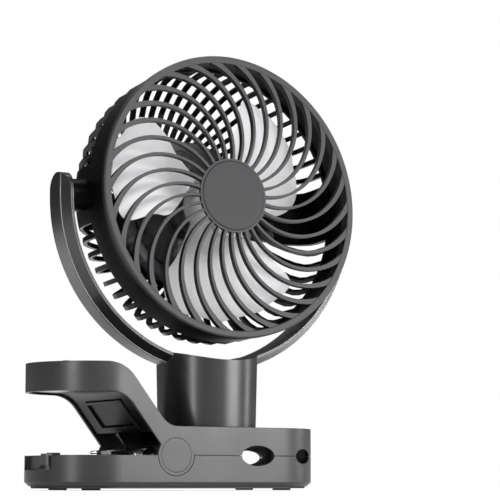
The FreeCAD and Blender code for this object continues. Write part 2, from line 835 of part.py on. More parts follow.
def make_swivel_screws():
    screws = []
    for x, y in swivel_screw_spots():
        head = cyl_z(2.4, retainer_top_z - retainer_thick - 1.6, retainer_top_z - retainer_thick, x, y)
        shank = cyl_z(swivel_screw_r - 0.02, retainer_top_z - retainer_thick - 0.1, column_low_z + 0.4, x, y)
        screws.append(head.fuse(shank).removeSplitter())
    return screws


def yoke_section():
    """Band section as (radius, depth) corners, depth forwards of the tilt axis."""
    return [(yoke_r_in, -yoke_rear), (yoke_r_out, -yoke_rear), (yoke_r_out, yoke_step),
            (yoke_r_out - yoke_bevel, yoke_front), (yoke_r_in, yoke_front)]


def make_yoke_frame():
    corners = [Vec(column_x + r, -d, tilt_z) for r, d in yoke_section()]
    face = Part.Face(Part.makePolygon(corners + [corners[0]]))
    arc = face.revolve(tilt_point, Vec(0, 1, 0), 180)
    arms = []
    middle = (yoke_front - yoke_rear) / 2
    half = (yoke_front + yoke_rear) / 2
    for side in (-1, 1):
        pts = [Vec(column_x + side * r, -d, tilt_z) for r, d in yoke_section()]
        post = Part.Face(Part.makePolygon(pts + [pts[0]])).extrude(Vec(0, 0, arm_rise))
        x0, x1 = sorted((column_x + side * yoke_r_in, column_x + side * yoke_r_out))
        tip = cyl_x(half, x0 - 1, x1 + 1, -middle, tilt_z + arm_rise - half)
        keep = tip.fuse(box(x0 - 1, x1 + 1, -yoke_front - 1, yoke_rear + 1, tilt_z - 1, tilt_z + arm_rise - half))
        arms.append(post.common(keep))
        pad_x0, pad_x1 = sorted((column_x + side * (yoke_r_in - 0.8), column_x + side * (yoke_r_in + 2)))
        arms.append(cyl_x(boss_r, pad_x0, pad_x1, 0, tilt_z))
    column = Part.makeCone(column_r_low, column_r_top, tilt_z - yoke_r_in * 0.93 - column_low_z,
                           Vec(column_x, 0, column_low_z))
    saddle = cyl_y(yoke_r_in, -clip_width, clip_width, column_x, tilt_z)
    body = joined([arc, column.cut(saddle)] + arms)
    inside_top = tilt_z - yoke_r_in - column_wall - 1.0
    inside = cyl_z(column_r_low - column_wall, 0, inside_top, column_x, 0)
    body = body.cut(inside)
    body = body.cut([cyl_x(tilt_pin_r, column_x - yoke_r_out + 1.6, column_x + yoke_r_out - 1.6, 0, tilt_z)])
    return body.cut(wire_groove(0)).removeSplitter()


# Wire channel in the yoke's inner face, closed by two curved covers
groove_half = 5.0
groove_deep = 2.4
groove_start_deg = 22.0
groove_end_deg = 62.0


def wire_groove(gap):
    """Curved channel on both sides between the column and the tilt bosses."""
    x_in = yoke_r_in - 1 if gap == 0 else yoke_r_in
    section = [(x_in, -groove_half + gap), (yoke_r_in + groove_deep - gap, -groove_half + gap),
               (yoke_r_in + groove_deep - gap, groove_half - gap), (x_in, groove_half - gap)]
    pieces = []
    for side in (-1, 1):
        corners = [Vec(column_x + side * r, -d, tilt_z) for r, d in section]
        face = Part.Face(Part.makePolygon(corners + [corners[0]]))
        piece = face.revolve(tilt_point, Vec(0, 1, 0), side * (groove_end_deg - groove_start_deg))
        piece.rotate(tilt_point, Vec(0, 1, 0), side * groove_start_deg)
        pieces.append(piece)
    return pieces


def make_wire_covers():
    return wire_groove(0.12)


def make_tilt_pins():
    pins = []
    for side in (-1, 1):
        x0, x1 = sorted((column_x + side * (pin_inner_x), column_x + side * (yoke_r_out - 1.6)))
        pins.append(cyl_x(tilt_pin_r, x0, x1, 0, tilt_z))
    return pins


washer_thick = 0.5
boss_face = yoke_r_in - 0.8 - washer_thick - 0.1
pin_inner_x = band_r - 2.0


def make_tilt_washers():
    washers = []
    for side in (-1, 1):
        x0, x1 = sorted((column_x + side * (yoke_r_in - 0.8 - washer_thick), column_x + side * (yoke_r_in - 0.8)))
        washer = cyl_x(9.0, x0, x1, 0, tilt_z).cut(cyl_x(tilt_pin_r + 0.02, x0 - 1, x1 + 1, 0, tilt_z))
        washers.append(washer)
    return washers


# Fan head
ring_in_r = ring_r - ring_width
spoke_lead_deg = 2.5
spoke_mid_deg = 11.4
spoke_end_deg = 37.5
spoke_mid_r = 62.0
spoke_rim_width = 3.2
spoke_root_web = 1.0
hub_thick = 2.4
cap_proud = 1.0
cap_seat = 0.8
hub_cap_r = 25.4


def polar(radius, angle_deg, depth):
    a = radians(angle_deg)
    return Vec(column_x + radius * cos(a), -depth, tilt_z + radius * sin(a))


def spoke():
    """One swept bar of the front grille: a strip along a circular arc, with a webbed root at the rim."""
    depth = ring_face - 0.4
    p0 = polar(hub_r - 0.8, spoke_lead_deg, depth)
    p1 = polar(spoke_mid_r, spoke_mid_deg, depth)
    p2 = polar(ring_in_r + 1.2, spoke_end_deg, depth)
    circle = Part.Arc(p0, p1, p2).toShape().Curve
    centre = circle.Center
    radius = circle.Radius
    sides = []
    for side, web in ((1, spoke_root_web), (-1, 0.0)):
        halves = (spoke_width / 2, spoke_width / 2, spoke_rim_width / 2 + web)
        sides.append([centre + (p - centre).normalize() * (radius + side * half)
                      for p, half in zip((p0, p1, p2), halves)])
    outer, inner = sides
    wire = Part.Wire([
        Part.Arc(outer[0], outer[1], outer[2]).toShape(),
        Part.LineSegment(outer[2], inner[2]).toShape(),
        Part.Arc(inner[2], inner[1], inner[0]).toShape(),
        Part.LineSegment(inner[0], outer[0]).toShape(),
    ])
    return Part.Face(wire).extrude(Vec(0, spoke_depth, 0))


def make_front_grille():
    rim = head_revolve([(ring_in_r, ring_face - ring_depth), (ring_in_r, ring_face - 0.3),
                        (ring_in_r + 0.6, ring_face), (ring_r - 1.0, ring_face), (ring_r, ring_face - 1.0),
                        (ring_r, ring_face - ring_depth)])
    collar_back = ring_face - ring_depth
    collar = ring_at(band_r - band_wall - fit_gap, ring_in_r + 0.4, collar_back - 4, collar_back + 0.2)
    hub = disc_at(hub_r, ring_face - hub_thick, ring_face)
    hub = hub.cut(disc_at(hub_cap_r + fit_gap, ring_face - cap_seat, ring_face + 1))
    bars = [turned(spoke(), 360.0 * i / spoke_count) for i in range(spoke_count)]
    grille = rim.fuse([collar, hub] + bars).removeSplitter()
    return tilted(grille)


def make_hub_cap():
    top = ring_face + cap_proud
    low = ring_face - cap_seat
    cap = head_revolve([(0, low), (hub_cap_r, low), (hub_cap_r, top - 0.9), (hub_cap_r - 0.9, top - 0.25),
                        (hub_cap_r - 6.0, top), (0, top)])
    return tilted(cap)


band_wall = 2.0


def boss_blocks():
    """Tilt bosses on both sides of the band, bored for the pins."""
    blocks = []
    for side in (-1, 1):
        x0, x1 = sorted((column_x + side * (band_r - 6), column_x + side * boss_face))
        blocks.append(cyl_x(boss_r, x0, x1, 0, tilt_z))
    return blocks


def make_head_band():
    front = ring_face - ring_depth
    tube = head_revolve([(band_r - 0.4, front), (band_r - band_wall, front), (band_r - band_wall, band_rear),
                         (band_r, band_rear), (band_r, front - 4)])
    return tilted(tube)


cage_profile = [(band_r, band_rear - 0.1), (band_r - 0.2, -6.0), (band_r - 1.7, -14.0), (band_r - 6.0, -22.0),
                (band_r - 12.7, -29.5), (band_r - 22.2, -36.5), (band_r - 35.2, cage_rear + 0.9)]
strap_half_deg = 12.0
rib_lean_deg = 16.0


def rib_face(lean_deg):
    """Outline of a cage rib on its own plane, which leans off the radius at the band."""
    reach = band_r * cos(radians(lean_deg))
    sink = rib_width / 2 * sin(radians(lean_deg))
    outer = cage_profile + [(pot_r + 1.6, cage_rear)]
    inner = [(r - rib_depth * nr, d + rib_depth * nd) for (r, d), (nr, nd) in zip(outer, rib_normals(outer))]
    corners = []
    for r, d in outer + inner[::-1]:
        along = reach - sqrt(reach * reach - band_r * band_r + (r - sink) * (r - sink))
        corners.append(Vec(column_x + band_r - along, -d, tilt_z))
    face = Part.Face(Part.makePolygon(corners + [corners[0]]))
    face.rotate(Vec(column_x + band_r, 0, tilt_z), Vec(0, 1, 0), lean_deg)
    return face


def cage_rib():
    """Fine bar from the band straight back and then inwards, swept against the grille's bars."""
    face = rib_face(rib_lean_deg)
    across = Vec(sin(radians(rib_lean_deg)), 0, cos(radians(rib_lean_deg)))
    face.translate(across * (-rib_width / 2))
    return face.extrude(across * rib_width)


def cage_strap():
    """Broad curved strap that carries a tilt boss."""
    return turned(rib_face(0.0).revolve(tilt_point, Vec(0, 1, 0), 2 * strap_half_deg), strap_half_deg)


def rib_normals(points):
    """Outward unit normals of the profile, as (radial, rearward) pairs at each point."""
    normals = []
    for i in range(len(points)):
        r0, d0 = points[max(i - 1, 0)]
        r1, d1 = points[min(i + 1, len(points) - 1)]
        dr, dd = r1 - r0, d1 - d0
        length = sqrt(dr * dr + dd * dd)
        normals.append((-dd / length, -(-dr) / length * -1))
    return normals


def make_rear_cage():
    front_ring = ring_at(band_r, band_r - 3.4, band_rear - 3.0, band_rear)
    back_ring = ring_at(pot_r + 3.0, pot_r + seam, cage_rear, cage_rear + 3.0)
    ribs = [turned(cage_rib(), 360.0 * (i + 0.5) / rib_count) for i in range(rib_count)]
    straps = [turned(cage_strap(), a) for a in (0, 180)]
    cage = front_ring.fuse([back_ring] + ribs).fuse(straps)
    pockets = []
    for side in (-1, 1):
        x0, x1 = sorted((column_x + side * (pin_inner_x - 1.5), column_x + side * 140))
        pockets.append(cyl_x(tilt_pin_r + running, x0, x1, 0, tilt_z))
    level = tilted(cage.removeSplitter())
    return joined([level] + boss_blocks()).cut(pockets).removeSplitter()


pot_front = -26.0
pot_rear = -41.4
pot_wall = 2.0
neck_r = 20.5
neck_front = pot_front + 12.0
led_ring_out = pot_r - 7.0
led_ring_in = neck_r + 1.0
vent_count = 24


def make_motor_pot():
    shell = disc_at(pot_r, pot_rear, pot_front).cut(disc_at(pot_r - pot_wall, pot_rear + pot_wall, pot_front - pot_wall))
    neck = disc_at(neck_r, pot_front - pot_wall, neck_front)
    shell = shell.fuse(neck).cut(disc_at(motor_r + fit_gap, pot_rear + pot_wall, neck_front + 1))
    rim_in = led_ring_out + fit_gap
    grooves = [turned(box(column_x + rim_in, column_x + pot_r + 1, -pot_front - 1, -pot_front + 0.8,
                          tilt_z - 0.5, tilt_z + 0.5), 360.0 * i / 16) for i in range(16)]
    vents = [turned(box(column_x + neck_r + 5, column_x + pot_r - 11, -pot_rear - 3, -pot_rear + 3,
                        tilt_z - 1.0, tilt_z + 1.0), 360.0 * (i + 0.5) / vent_count) for i in range(vent_count)]
    return tilted(shell.cut(grooves + vents).removeSplitter())


motor_r = 17.0


def make_rear_disc():
    return tilted(head_revolve([(0, pot_rear), (20.0, pot_rear), (20.0, pot_rear - 1.0),
                                (19.0, pot_rear - 1.6), (0, pot_rear - 2.0)]))


def make_motor_can():
    can = disc_at(motor_r, pot_rear + 2, blade_rear - 1.0)
    return tilted(can.cut(disc_at(shaft_r + running, -100, 100)))


shaft_r = 2.0


def make_motor_shaft():
    return tilted(disc_at(shaft_r, pot_rear + 3, blade_front + 2.4))


led_count = 6


def make_led_board():
    return tilted(ring_at(led_ring_out - 1.6, led_ring_in + 1.6, pot_front, pot_front + 1.2))


def make_leds():
    spots = []
    chip_x = column_x + (led_ring_out + led_ring_in) / 2
    for i in range(led_count):
        chip = box(chip_x - 1.75, chip_x + 1.75, -pot_front - 2.0, -pot_front - 1.2, tilt_z - 1.75, tilt_z + 1.75)
        spots.append(tilted(turned(chip, 360.0 * (i + 0.5) / led_count)))
    return spots


def make_led_lens():
    outer = ring_at(led_ring_out, led_ring_in, pot_front, pot_front + 3.6)
    inner = ring_at(led_ring_out - 1.2, led_ring_in + 1.2, pot_front - 1, pot_front + 2.6)
    return tilted(outer.cut(inner))


# Rotor
blade_hub_r = 17.5
blade_front = 20.0
blade_rear = -4.5


def blade():
    """One wide rounded blade, lofted from its root to its tip through pitched sections."""
    sections = []
    for radius, span, lead, pitch, camber in blade_stations:
        sections.append(blade_section(radius, span, lead, pitch, camber))
    return Part.makeLoft(sections, True, False)


blade_stations = [
    (14.5, 22.0, 2.0, 38.0, 0.8),
    (28.0, 47.0, 6.0, 31.0, 2.0),
    (44.0, 76.0, 10.0, 23.0, 3.2),
    (blade_tip_r - 24.0, 92.0, 13.0, 18.0, 4.0),
    (blade_tip_r - 16.0, 90.0, 15.0, 16.0, 3.8),
    (blade_tip_r - 8.5, 70.0, 16.0, 14.5, 2.8),
    (blade_tip_r - 3.0, 44.0, 16.3, 14.0, 1.6),
    (blade_tip_r, 18.0, 16.5, 14.0, 0.6),
]
blade_thick = 1.6
blade_mid_depth = 7.0


def blade_section(radius, span, lead_deg, pitch_deg, camber):
    """Flat closed section at one radius: two arcs about a pitched chord."""
    centre = polar(radius, lead_deg, blade_mid_depth)
    across = polar(radius + 1, lead_deg + 90, 0) - polar(radius, lead_deg + 90, 0)
    up = []
    down = []
    for u in (-1.0, 0.0, 1.0):
        bow = camber * (1 - u * u)
        along = u * span / 2 * cos(radians(pitch_deg))
        ahead = u * span / 2 * sin(radians(pitch_deg)) + bow
        thick = blade_thick / 2 * (1 - 0.55 * u * u)
        up.append(centre + across * along + Vec(0, -ahead - thick, 0))
        down.append(centre + across * along + Vec(0, -ahead + thick, 0))
    edges = [
        Part.Arc(up[0], up[1], up[2]).toShape(),
        Part.LineSegment(up[2], down[2]).toShape(),
        Part.Arc(down[2], down[1], down[0]).toShape(),
        Part.LineSegment(down[0], up[0]).toShape(),
    ]
    return Part.Wire(edges)


def make_fan_blade():
    hub = head_revolve([(0, blade_front), (blade_hub_r - 4, blade_front - 1.2), (blade_hub_r, blade_front - 5),
                        (blade_hub_r, blade_rear), (0, blade_rear)])
    blades = [turned(blade(), 360.0 * i / blade_count + rotor_phase) for i in range(blade_count)]
    rotor = hub.fuse(blades).cut(disc_at(shaft_r + 0.02, -60, 60))
    return tilted(rotor.removeSplitter())


rotor_phase = 26.0


def make_blade_nut():
    nut = disc_at(5.0, blade_front, blade_front + 2.8).cut(disc_at(shaft_r + 0.02, -60, 60))
    return tilted(nut)


# Hook
def make_hanging_hook():
    """Wire hook folded into its bay: a straight axle, a shank and a round bend."""
    r = hook_bend_r
    x_far = hook_root_x - hook_reach
    y_shank = 0.0
    edges = [
        Part.LineSegment(Vec(hook_root_x, hook_axle_half, hook_z), Vec(hook_root_x, 3.0, hook_z)).toShape(),
        Part.Arc(Vec(hook_root_x, 3.0, hook_z), Vec(hook_root_x - 0.879, 0.879, hook_z),
                 Vec(hook_root_x - 3.0, 0, hook_z)).toShape(),
        Part.LineSegment(Vec(hook_root_x - 3.0, y_shank, hook_z), Vec(x_far + r, y_shank, hook_z)).toShape(),
        Part.Arc(Vec(x_far + r, y_shank, hook_z), Vec(x_far, y_shank - r, hook_z),
                 Vec(x_far + r, y_shank - 2 * r, hook_z)).toShape(),
        Part.LineSegment(Vec(x_far + r, y_shank - 2 * r, hook_z),
                         Vec(x_far + r + 9, y_shank - 2 * r, hook_z)).toShape(),
    ]
    path = Part.Wire(edges)
    start = Vec(hook_root_x, hook_axle_half, hook_z)
    section = Part.Wire(Part.Circle(start, Vec(0, 1, 0), hook_wire_r).toShape())
    return path.makePipeShell([section], True, False)


def hook_saddle():
    """Block inside the bay that the hook's axle turns in."""
    block = box(hook_root_x - hook_wire_r - 1.6, hook_root_x + hook_wire_r + 1.6, 4.5, hook_axle_half + 2.6,
                hook_z - 0.6, bay_top_z + 0.2)
    return block.cut(cyl_y(hook_wire_r + running, 0, hook_axle_half + 0.4, hook_root_x, hook_z))


def main():
    save("lower_shell", make_lower_shell())
    save("bottom_plate", make_bottom_plate())
    save("rubber_feet", make_rubber_feet())
    save("plate_screws", make_plate_screws())
    save("battery_cells", make_battery_cells())
    save("cell_holder", make_cell_holder())
    save("cell_contacts", make_cell_contacts())
    save("main_board", make_main_board())
    save("charge_socket", make_charge_socket())
    save("lower_jaw_liner", make_lower_liner())
    low_pad_z = liner_low_z + liner_thick
    save("lower_grip_pads", make_grip_pads(low_pad_z, low_pad_z + pad_thick - pad_groove))
    save("pivot_pin", make_pivot_pin())
    save("bumper_pad", make_bumper())
    save("torsion_spring", make_torsion_spring())
    save("hanging_hook", make_hanging_hook())
    save("upper_shell", make_upper_shell())
    save("upper_jaw_liner", make_upper_liner())
    high_pad_z = liner_high_z - liner_thick - pad_thick
    save("upper_grip_pads", make_grip_pads(high_pad_z, high_pad_z))
    save("pivot_caps", make_pivot_caps())
    save("lever_liner", make_lever_liner())
    save("control_panel", make_control_panel())
    save("indicator_window", make_indicator_window())
    save("ir_receiver", make_ir_receiver())
    save("button_board", make_button_board())
    for name, spot in zip(button_names, button_spots):
        save(name, make_button(spot))
    save("swivel_washer", make_swivel_washer())
    save("column_base", make_column_base())
    save("swivel_retainer", make_swivel_retainer())
    save("swivel_screws", make_swivel_screws())
    save("yoke_frame", make_yoke_frame())
    save("wire_covers", make_wire_covers())
    save("tilt_pins", make_tilt_pins())
    save("tilt_washers", make_tilt_washers())
    save("front_grille", make_front_grille())
    save("hub_cap", make_hub_cap())
    save("head_band", make_head_band())
    save("rear_cage", make_rear_cage())
    save("motor_pot", make_motor_pot())
    save("rear_disc", make_rear_disc())
    save("motor_can", make_motor_can())
    save("motor_shaft", make_motor_shaft())
    save("led_board", make_led_board())
    save("led_chips", make_leds())
    save("led_lens", make_led_lens())
    save("fan_blade", make_fan_blade())
    save("blade_nut", make_blade_nut())


main()
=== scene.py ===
from math import radians

import bpy
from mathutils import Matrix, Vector


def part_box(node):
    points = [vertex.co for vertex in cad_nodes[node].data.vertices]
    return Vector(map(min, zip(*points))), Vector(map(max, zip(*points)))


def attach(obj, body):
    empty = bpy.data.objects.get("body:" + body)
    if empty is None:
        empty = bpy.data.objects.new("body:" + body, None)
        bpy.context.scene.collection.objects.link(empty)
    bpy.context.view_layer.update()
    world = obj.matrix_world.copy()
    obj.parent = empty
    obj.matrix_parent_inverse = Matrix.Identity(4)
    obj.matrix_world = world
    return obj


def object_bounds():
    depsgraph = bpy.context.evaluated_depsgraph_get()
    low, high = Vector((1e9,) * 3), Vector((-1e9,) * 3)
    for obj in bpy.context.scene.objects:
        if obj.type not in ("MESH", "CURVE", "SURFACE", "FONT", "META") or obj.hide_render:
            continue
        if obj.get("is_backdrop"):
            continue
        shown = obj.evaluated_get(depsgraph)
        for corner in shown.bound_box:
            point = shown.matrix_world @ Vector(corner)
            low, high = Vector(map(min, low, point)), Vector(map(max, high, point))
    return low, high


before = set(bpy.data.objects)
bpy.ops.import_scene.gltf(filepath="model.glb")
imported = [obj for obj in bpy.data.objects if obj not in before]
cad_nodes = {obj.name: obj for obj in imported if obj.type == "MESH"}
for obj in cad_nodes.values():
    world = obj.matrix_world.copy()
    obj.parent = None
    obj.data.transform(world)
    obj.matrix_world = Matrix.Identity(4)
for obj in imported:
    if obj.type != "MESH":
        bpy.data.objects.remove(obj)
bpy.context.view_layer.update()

# Camera: at the photograph's place, low in front of the clip's lever side and looking a
# little up. Its place, turn and lens were fitted to the grille ring, hub, column and base.
camera_place = (-0.70508, -1.24429, 0.003)
camera_turn = (radians(96.75), 0, radians(-31.08))
bpy.ops.object.camera_add(location=camera_place, rotation=camera_turn)
camera = bpy.context.object
camera.data.lens = 143.43
bpy.context.scene.camera = camera
bpy.context.scene.view_settings.view_transform = "Standard"

# Studio: a white room, made by the world. Straight rays and rays through glass see it full
# white, and on the object itself it stays dim, so that the lamps shape the form.
pure_white = (1, 1, 1, 1)


# Every shader node of the file is added by this one function. A key in settings is either
# a property of the node or one of its sockets.
def add_node(tree, kind, settings=None, links=None):
    node = tree.nodes.new(kind)
    for name, value in (settings or {}).items():
        if isinstance(name, str) and hasattr(node, name):
            setattr(node, name, value)
        else:
            node.inputs[name].default_value = value
    for name, source in (links or {}).items():
        tree.links.new(source, node.inputs[name])
    return node


world = bpy.data.worlds.new("white_studio")
world.use_nodes = True
world.node_tree.nodes.clear()
bpy.context.scene.world = world
tree = world.node_tree
path = add_node(tree, "ShaderNodeLightPath")
straight = add_node(tree, "ShaderNodeMath", {"operation": "MAXIMUM"},
                    {0: path.outputs["Is Camera Ray"], 1: path.outputs["Is Transmission Ray"]})
ambient = add_node(tree, "ShaderNodeBackground", {"Color": pure_white, "Strength": 0.10})
white = add_node(tree, "ShaderNodeBackground", {"Color": pure_white, "Strength": 1.0})
mix = add_node(tree, "ShaderNodeMixShader", None,
               {0: straight.outputs[0], 1: ambient.outputs[0], 2: white.outputs[0]})
add_node(tree, "ShaderNodeOutputWorld", None, {0: mix.outputs[0]})


# Table: a wide card, matt and nearly white, that keeps the soft shadow under the clip.
# For rays that see it straight, in gloss or through glass it glows, more with distance from
# the object, so that it runs into the white room with no horizon.
def new_material(name):
    material = bpy.data.materials.new(name)
    material.use_nodes = True
    material.node_tree.nodes.clear()
    output = add_node(material.node_tree, "ShaderNodeOutputMaterial")
    return material, material.node_tree, output


table_drop = 0.0002
glow_near, glow_far = 0.20, 0.65
glow_least, glow_most = 0.20, 1.0
bpy.ops.mesh.primitive_plane_add(size=6.0, location=(0, 0, -table_drop))
table = bpy.context.object
table.name = "studio_table"
bpy.ops.object.transform_apply(location=True)
table_white, tree, output = new_material("matt_white_table")
path = add_node(tree, "ShaderNodeLightPath")
seen = add_node(tree, "ShaderNodeMath", {"operation": "MAXIMUM"},
                {0: path.outputs["Is Camera Ray"], 1: path.outputs["Is Glossy Ray"]})
direct = add_node(tree, "ShaderNodeMath", {"operation": "MAXIMUM"},
                  {0: seen.outputs[0], 1: path.outputs["Is Transmission Ray"]})
coord = add_node(tree, "ShaderNodeTexCoord")
reach = add_node(tree, "ShaderNodeVectorMath", {"operation": "LENGTH"},
                 {0: coord.outputs["Object"]})
sweep = add_node(tree, "ShaderNodeMapRange",
                 {"From Min": glow_near, "From Max": glow_far,
                  "To Min": glow_least, "To Max": glow_most},
                 {"Value": reach.outputs["Value"]})
lift = add_node(tree, "ShaderNodeMath", {"operation": "MULTIPLY"},
                {0: direct.outputs[0], 1: sweep.outputs["Result"]})
matt = add_node(tree, "ShaderNodeBsdfDiffuse", {"Color": (0.86, 0.86, 0.86, 1)})
glow = add_node(tree, "ShaderNodeEmission", {"Color": pure_white}, {"Strength": lift.outputs[0]})
both = add_node(tree, "ShaderNodeAddShader", None, {0: matt.outputs[0], 1: glow.outputs[0]})
tree.links.new(both.outputs[0], output.inputs["Surface"])
table.data.materials.append(table_white)
table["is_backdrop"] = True

# Lamps: soft boxes in front, narrow strips at the sides that draw the bands of light on the
# round ends, and a box above and behind. Each row holds the place, width and height in
# metres and the power in watts, and every lamp looks at the middle of the object.
object_middle = Vector((0, 0, 0.13))
soft_boxes = [
    ("front_box", (0.95, -1.45, 0.30), 0.90, 0.75, 24.0),
    ("key_box", (0.10, -1.60, 1.00), 0.70, 0.50, 21.0),
    ("left_strip", (-1.15, -0.62, 0.30), 0.07, 0.80, 7.0),
    ("right_strip", (1.20, -0.28, 0.40), 0.12, 0.90, 4.0),
    ("top_box", (0.10, 0.15, 1.35), 0.50, 0.50, 5.0),
    ("rim_box", (-0.05, 1.10, 1.75), 0.60, 0.60, 12.0),
]
for name, place, width, height, power in soft_boxes:
    bpy.ops.object.light_add(type="AREA", location=place)
    lamp = bpy.context.object
    lamp.name = name
    lamp.data.shape = "RECTANGLE"
    lamp.data.size = width
    lamp.data.size_y = height
    lamp.data.energy = power
    lamp.rotation_euler = (object_middle - Vector(place)).to_track_quat("-Z", "Y").to_euler()

# Lower shell: the lower half of the peg clip, injection-moulded in charcoal ABS with a fine
# spark-eroded grain. The eye sees satin and soft mould edges, and corners in a paler grey that
# is partly wear and partly painted highlight.
# The real grain is near 0.1 mm, too fine to show, and is drawn at 0.45 mm.
metre_mm = 1000.0

# Sockets of a Mix node that blends two colours.
mix_share, mix_first, mix_second, mix_result = 0, 6, 7, 2


# Colours are written as sRGB hex values, and the shaders take them as linear ones.
def from_hex(colour):
    parts = [int(colour[i:i + 2], 16) / 255 for i in (1, 3, 5)]
    linear = [c / 12.92 if c <= 0.04045 else ((c + 0.055) / 1.055) ** 2.4 for c in parts]
    return (*linear, 1.0)


# Moulded plastic has the tool's grain, broad patches that handling leaves a little dustier
# and duller, and corners in a paler colour where the softened normal turns away from the flat
# one. That paler colour is partly wear and partly painted highlight, drawn as bright lines on
# the edges. The two edge cosines below mark where the turn starts and where it is full. A
# pattern's size is given in millimetres, and its scale is how many go into a metre.
def moulded_plastic(name, colour, edge_wear_and_highlight_colour, roughness, grain_mm, grain_depth_mm, edge_mm,
                    edge_wear_and_highlight=0.0, shine=0.5):
    patch_mm = 38.0
    patch_dust = 1.16
    patch_gloss = 0.035
    pale_edge_starts, pale_edge_full = 0.985, 0.80
    material, tree, output = new_material(name)
    on_piece = {"Vector": add_node(tree, "ShaderNodeTexCoord").outputs["Object"]}
    grain = add_node(tree, "ShaderNodeTexNoise",
                     {"Scale": metre_mm / grain_mm, "Detail": 3.0, "Roughness": 0.6}, on_piece)
    handling = add_node(tree, "ShaderNodeTexNoise",
                        {"Scale": metre_mm / patch_mm, "Detail": 4.0, "Roughness": 0.55},
                        on_piece)
    soft_edge = add_node(tree, "ShaderNodeBevel", {"samples": 4, "Radius": edge_mm / metre_mm})
    bump = add_node(tree, "ShaderNodeBump",
                    {"Strength": 0.35, "Distance": grain_depth_mm / metre_mm},
                    {"Height": grain.outputs["Fac"], "Normal": soft_edge.outputs["Normal"]})
    flat = add_node(tree, "ShaderNodeNewGeometry")
    turn = add_node(tree, "ShaderNodeVectorMath", {"operation": "DOT_PRODUCT"},
                    {0: soft_edge.outputs["Normal"], 1: flat.outputs["Normal"]})
    # Pale corners: partly wear, partly painted highlight.
    arris = add_node(tree, "ShaderNodeMapRange",
                     {"From Min": pale_edge_starts, "From Max": pale_edge_full,
                      "To Min": 0.0, "To Max": edge_wear_and_highlight},
                     {"Value": turn.outputs["Value"]})
    base = from_hex(colour)
    dusty = tuple(c * patch_dust for c in base[:3]) + (1.0,)
    shade = add_node(tree, "ShaderNodeMix",
                     {"data_type": "RGBA", mix_first: base, mix_second: dusty},
                     {mix_share: handling.outputs["Fac"]})
    skin = add_node(tree, "ShaderNodeMix",
                    {"data_type": "RGBA", mix_second: from_hex(edge_wear_and_highlight_colour)},
                    {mix_share: arris.outputs["Result"], mix_first: shade.outputs[mix_result]})
    gloss = add_node(tree, "ShaderNodeMapRange",
                     {"From Min": 0.3, "From Max": 0.7,
                      "To Min": roughness - patch_gloss, "To Max": roughness + patch_gloss},
                     {"Value": handling.outputs["Fac"]})
    plastic = add_node(tree, "ShaderNodeBsdfPrincipled",
                       {"IOR": 1.54, "Metallic": 0.0, "Specular IOR Level": shine},
                       {"Base Color": skin.outputs[mix_result],
                        "Roughness": gloss.outputs["Result"],
                        "Normal": bump.outputs["Normal"]})
    tree.links.new(plastic.outputs[0], output.inputs["Surface"])
    return material


# A CAD part keeps its mesh, and its one material slot takes the finish.
def finish_parts(material, *names):
    for name in names:
        cad_nodes[name].material_slots[0].material = material


charcoal_abs = moulded_plastic("charcoal_satin_abs", "#232325", edge_wear_and_highlight_colour="#4c4c50",
                               roughness=0.36, grain_mm=0.45, grain_depth_mm=0.012,
                               edge_mm=0.7, edge_wear_and_highlight=0.25, shine=0.45)
finish_parts(charcoal_abs, "lower_shell")

# Bottom plate: the flat lid of the lower shell with the hook's bay, moulded in the same ABS
# and held by four screws from below. Its tool is left coarse, so it looks matt.
# Its corners are paler: partly wear, partly painted highlight.
matt_abs = moulded_plastic("charcoal_matt_abs", "#1f1f21", edge_wear_and_highlight_colour="#3c3c40",
                           roughness=0.50, grain_mm=0.6, grain_depth_mm=0.05,
                           edge_mm=0.6, edge_wear_and_highlight=0.2, shine=0.4)
finish_parts(matt_abs, "bottom_plate")


# Rubber feet: four black rubber buttons glued into the plate, moulded with fine ribs.
# Rubber scatters the light and holds dust, so they look matt and a little grey.
def soft_rubber(name, colour, rib_mm):
    dust_mm = 9.0
    # The Wave node turns by 20 radians over a metre at scale 1, and half a turn is one rib.
    wave_angle, half_turn = 20.0, 3.14
    material, tree, output = new_material(name)
    on_piece = {"Vector": add_node(tree, "ShaderNodeTexCoord").outputs["Object"]}
    ribs = add_node(tree, "ShaderNodeTexWave",
                    {"bands_direction": "X", "Distortion": 0.0,
                     "Scale": metre_mm / rib_mm / wave_angle * half_turn}, on_piece)
    dust = add_node(tree, "ShaderNodeTexNoise", {"Scale": metre_mm / dust_mm, "Detail": 6.0},
                    on_piece)
    bump = add_node(tree, "ShaderNodeBump", {"Strength": 0.5, "Distance": 0.0004},
                    {"Height": ribs.outputs["Fac"]})
    base = from_hex(colour)
    dusty = tuple(c * 1.5 + 0.004 for c in base[:3]) + (1.0,)
    shade = add_node(tree, "ShaderNodeMix",
                     {"data_type": "RGBA", mix_first: base, mix_second: dusty},
                     {mix_share: dust.outputs["Fac"]})
    rubber = add_node(tree, "ShaderNodeBsdfPrincipled", {"IOR": 1.52, "Roughness": 0.72},
                      {"Base Color": shade.outputs[mix_result],
                       "Normal": bump.outputs["Normal"]})
    tree.links.new(rubber.outputs[0], output.inputs["Surface"])
    return material


foot_rubber = soft_rubber("foot_rubber", "#151515", rib_mm=2.0)
finish_parts(foot_rubber, "rubber_feet")


